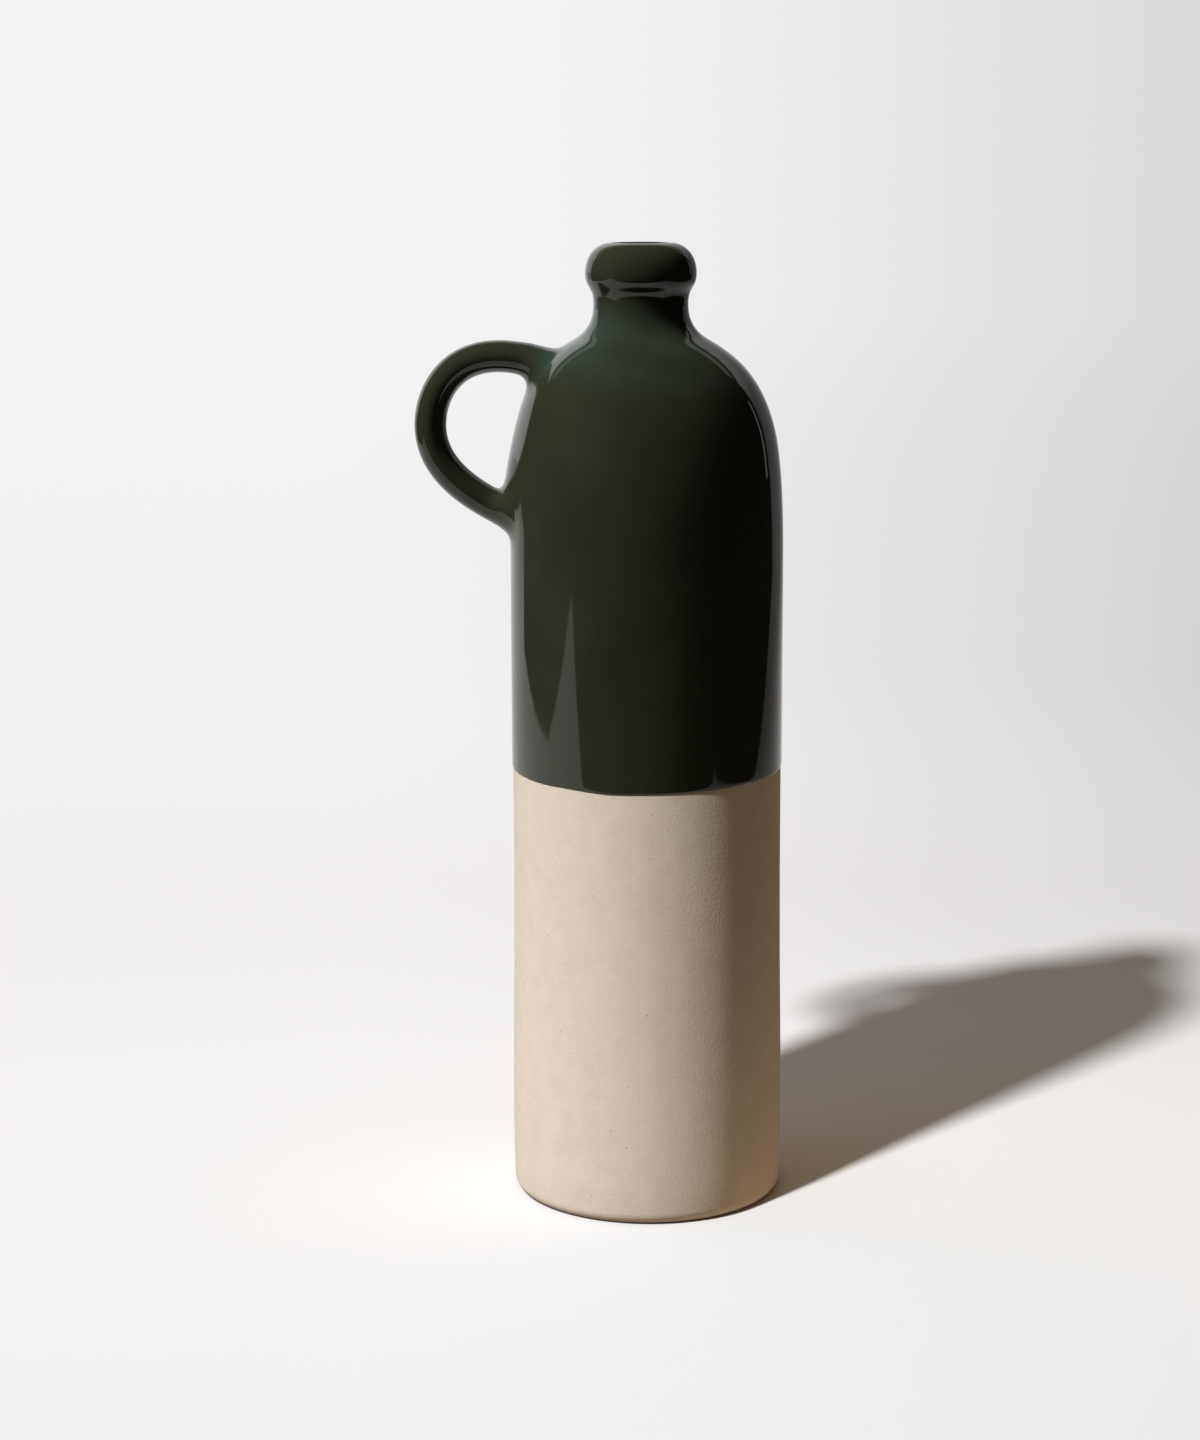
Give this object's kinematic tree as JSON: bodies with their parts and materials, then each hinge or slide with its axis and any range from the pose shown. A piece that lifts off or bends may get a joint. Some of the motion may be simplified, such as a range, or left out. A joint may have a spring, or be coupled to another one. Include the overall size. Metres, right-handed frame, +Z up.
{
  "type": "stoneware bottle jug",
  "caption": "Tall straight-sided stoneware bottle jug with sloping shoulder, collared narrow mouth and a small loop handle, upper half dipped in glossy dark green glaze.",
  "frame": {"origin": "centre of the flat foot, in the plane that the jug stands on", "axes": "+Z up along the body's axis, -X towards the handle, -Y towards the viewer of the picture"},
  "size_m": [0.1223, 0.0908, 0.3209],
  "materials": {
    "stoneware": "bare fired buff stoneware, matte, fine grain",
    "slip": "fired joining slip, matte",
    "green_glaze": "glossy, very dark bottle green"
  },
  "bodies": {
    "root": {"stoneware_body": "stoneware", "handle": "stoneware", "upper_luting": "slip", "lower_luting": "slip", "body_glaze": "green_glaze", "handle_glaze": "green_glaze", "inner_glaze": "green_glaze"}
  },
  "joints": []
}
